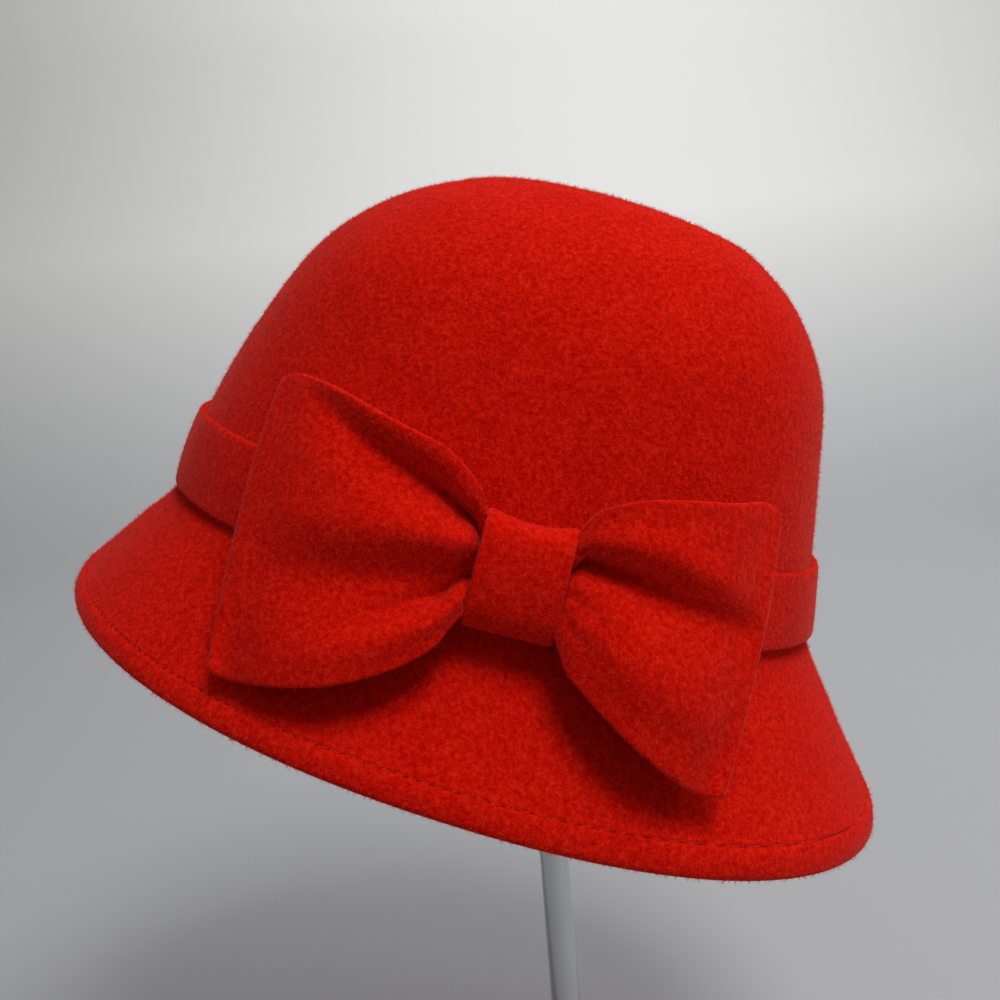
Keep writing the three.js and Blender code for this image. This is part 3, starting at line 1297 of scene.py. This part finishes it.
@dataclass
class Stand:
    """A plain round base, a straight pole and a domed disc inside the crown."""

    height: float
    gap: float = 0.3
    base_radius: float = 80.0
    base_thickness: float = 6.0
    base_round: float = 1.5
    pole_radius: float = 5.0
    top_radius: float = 32.0
    top_edge: float = 3.0
    top_dome: float = 7.0
    around: int = 128

    @property
    def under_top(self) -> float:
        """The height of the top disc's underside."""
        return self.height - self.top_edge - self.top_dome

    def build(self) -> list[tuple[bpy.types.Object, str]]:
        """Builds the three pieces, each with the node that it stands for.

        Returns:
            The pieces and the names of their nodes.
        """
        return [
            (self._turned("base_plate", self._base_outline()), "stand_base"),
            (self._turned("pole", self._pole_outline()), "stand_pole"),
            (self._turned("top_disc", self._top_outline()), "stand_top"),
        ]

    def _turned(self, name: str, outline: list[tuple[float, float]]) -> bpy.types.Object:
        """Turns an outline round the pole's axis.

        Args:
            name: The piece's name.
            outline: Radius and height of its points, from top to bottom.

        Returns:
            The piece.
        """
        angle = np.linspace(0, 2 * math.pi, self.around, endpoint=False)
        rows = [
            np.stack([r * np.cos(angle), r * np.sin(angle), np.full_like(angle, z)], axis=-1)
            for r, z in outline
        ]
        return grid_object(name, np.array(rows), Matrix(), ring=False)

    @staticmethod
    def _corner(r: float, z: float, radius: float, start: float) -> list[tuple[float, float]]:
        """A quarter round whose centre is at r, z, turning clockwise from start in degrees."""
        turns = np.radians(start - np.linspace(0, 90, 9))
        return [(r + radius * math.cos(a), z + radius * math.sin(a)) for a in turns]

    def _base_outline(self) -> list[tuple[float, float]]:
        """The base plate's outline, downwards.

        Returns:
            Radius and height of its points.
        """
        soft, lip = self.base_round, 0.5
        flat = [(r, self.base_thickness) for r in (1, 30, self.base_radius - soft - 0.2)]
        upper = self._corner(self.base_radius - soft, self.base_thickness - soft, soft, 90)
        lower = self._corner(self.base_radius - lip, lip, lip, 0)
        return [*flat, *upper, *lower, (self.base_radius - lip - 0.2, 0), (30, 0), (1, 0)]

    def _pole_outline(self) -> list[tuple[float, float]]:
        """The pole's outline, downwards, its ends lightly chamfered.

        Returns:
            Radius and height of its points.
        """
        top, bottom = self.under_top - self.gap, self.base_thickness + self.gap
        bevel, r = 0.3, self.pole_radius
        return [
            (1, top), (r - bevel - 0.05, top), (r - bevel, top), (r, top - bevel),
            (r, top - bevel - 0.1), (r, (top + bottom) / 2), (r, bottom + bevel + 0.1),
            (r, bottom + bevel), (r - bevel, bottom), (r - bevel - 0.05, bottom), (1, bottom),
        ]

    def _top_outline(self) -> list[tuple[float, float]]:
        """The domed disc's outline, downwards.

        Returns:
            Radius and height of its points.
        """
        shares = np.linspace(0.03, 0.985, 20)
        edge = self.under_top + self.top_edge
        dome = [(self.top_radius * s, edge + self.top_dome * (1 - s * s)) for s in shares]
        lip = 1.0
        lower = self._corner(self.top_radius - lip, self.under_top + lip, lip, 0)
        return [*dome, (self.top_radius, edge - 0.1), *lower, (20, self.under_top),
                (1, self.under_top)]


# The studio


@dataclass
class Studio:
    """A pale sweep, soft light from above and the right, and the photograph's camera."""

    lens_px: float = 1100.0
    image_px: float = 1000.0
    sensor: float = 36.0
    eye: tuple = (-0.35584, -0.02077, 0.29836)
    heading: float = math.radians(4.75)
    pitch: float = math.radians(-9.04)
    roll: float = math.radians(-4.65)

    def build(self) -> None:
        """Sets up the sweep, the lights, the world and the camera."""
        self._sweep()
        self._lights()
        self._world()
        self._camera()
        view = bpy.context.scene.view_settings
        view.view_transform = "Standard"
        view.look = "None"
        view.exposure = 0.0

    def _camera(self) -> None:
        """Sets the camera close to the hat and a little over its band, as in the photograph."""
        camera = bpy.data.cameras.new("camera")
        camera.sensor_width = self.sensor
        camera.lens = self.sensor * self.lens_px / self.image_px
        camera.clip_start, camera.clip_end = 0.01, 50.0
        eye = placed("camera", camera)
        ahead = Vector((math.cos(self.heading) * math.cos(self.pitch),
                        math.sin(self.heading) * math.cos(self.pitch), math.sin(self.pitch)))
        level = ahead.to_track_quat("-Z", "Y").to_matrix().to_4x4()
        turn = Matrix.Rotation(self.roll, 4, "Z")
        eye.matrix_world = Matrix.Translation(self.eye) @ level @ turn
        bpy.context.scene.camera = eye

    def _sweep(self) -> None:
        """A floor that curves up into a back wall, far behind the stand, its colour darkened low
        down as painted shade.
        """
        bend, reach, wall = 0.9, 1.1, 3.0
        outline = [(-3.0, 0.0), (reach, 0.0)]
        for turn in np.radians(np.linspace(0, 90, 24)):
            outline.append((reach + bend * math.sin(turn), bend * (1 - math.cos(turn))))
        outline.append((reach + bend, wall))
        half = 4.0
        points = [(x, y, z) for y in (-half, half) for x, z in outline]
        n = len(outline)
        faces = [(k, k + 1, n + k + 1, n + k) for k in range(n - 1)]
        mesh = bpy.data.meshes.new("sweep")
        mesh.from_pydata(points, [], faces)
        mesh.shade_smooth()
        sweep = placed("sweep", mesh)
        material, tree = new_material("pale_sweep")
        place = tree.place()
        height = tree.node("ShaderNodeSeparateXYZ", {}, {"Vector": place}, "Z")
        # Painted shade: the sweep's colour is 0.40 on the floor and pales to 0.80 half a metre up
        # the wall, darker where less light falls near the floor.
        painted_shade_tone = tree.ramp([(0.0, (0.40, 0.405, 0.42)), (0.5, (0.80, 0.80, 0.78))], height)
        tree.surface({"Base Color": painted_shade_tone, "Roughness": 0.9, "Specular IOR Level": 0.1})
        mesh.materials.append(material)

    def _lights(self) -> None:
        """A soft light over the bow side, two weaker ones from the front, and one on the wall."""
        hat, backdrop = (0.0, 0.0, 0.24), (2.0, -0.1, 0.9)
        for name, place, target, size, power in (
            ("key", (-0.58, -0.40, 1.30), hat, 0.5, 10.5),
            ("top", (0.20, -0.80, 1.10), hat, 0.8, 4.0),
            ("fill", (-1.3, -1.3, 0.8), hat, 1.0, 0.8),
            ("wall", (1.1, -0.2, 1.9), backdrop, 1.2, 21.0),
        ):
            light = bpy.data.lights.new(name, "AREA")
            light.size, light.energy = size, power
            lamp = placed(name, light)
            lamp.location = place
            aim = Vector(target) - Vector(place)
            lamp.rotation_euler = aim.to_track_quat("-Z", "Y").to_euler()

    def _world(self) -> None:
        """A dim room with a paler ceiling."""
        world = bpy.data.worlds.new("studio")
        world.use_nodes = True
        bpy.context.scene.world = world
        world.node_tree.nodes.clear()
        tree = Tree(world.node_tree)
        place = tree.node("ShaderNodeTexCoord", {}, {}, "Generated")
        height = tree.node("ShaderNodeSeparateXYZ", {}, {"Vector": place}, "Z")
        sky = tree.ramp(
            [(0.0, (0.62, 0.63, 0.66)), (0.30, (0.60, 0.61, 0.63)), (0.75, (1.0, 1.0, 1.0))], height
        )
        light = tree.node("ShaderNodeBackground", {}, {"Color": sky, "Strength": 0.26})
        tree.node("ShaderNodeOutputWorld", {}, {"Surface": light})


def dress_hat(form: HatForm, felt: bpy.types.Material) -> None:
    """Builds hood, band, bow, knot, stitches and nap.

    Args:
        form: The hat's form.
        felt: The felt's material.
    """
    nap = NapFinish().material()
    hood = FeltHood(form)
    body = hood.build()
    finish_piece(body, felt, Slot.FELT, "felt_body")
    thread = ThreadFinish().material()
    finish_piece(HemStitches(hood).build(thread), thread, Slot.FELT)
    band = HatBand(form)
    strip = band.build()
    finish_piece(strip, felt, Slot.FELT, "band")
    bow = Bow(form, band)
    loops = bow.build()
    finish_piece(loops, felt, Slot.FELT, "bow")
    loop = bow.build_knot()
    finish_piece(loop, felt, Slot.FELT, "knot")
    naps = {}
    for base, fuzz in (
        (skin_of(body, 0, hood.crown_faces), Nap("crown_nap", 72.0, seed=3)),
        (skin_of(body, hood.crown_faces, hood.outer_faces), Nap("brim_nap", 90.0, seed=53)),
        (strip.data, Nap("band_nap", 50.0, length=1.3, seed=13)),
        (loops.data, Nap("bow_nap", 80.0, length=1.3, seed=23)),
        (loop.data, Nap("knot_nap", 80.0, length=1.2, seed=33)),
    ):
        naps[fuzz.name] = fuzz.build(base, nap)
        finish_piece(naps[fuzz.name], nap, Slot.FELT)
    band.cut_length * MM
    bow.cut_width * MM
    bow.cut_length * MM
    bow.knot_length * MM


def main() -> None:
    """Builds the stand, the hat and the studio in order."""
    logging.basicConfig(level=logging.INFO, format="%(name)s: %(message)s")
    form = HatForm()
    Studio().build()
    chrome = ChromeFinish().material()
    for piece, node in Stand(form.stand_height).build():
        finish_piece(piece, chrome, Slot.CHROME, node)
    dress_hat(form, FeltFinish().material())


if __name__ == "__main__":
    main()
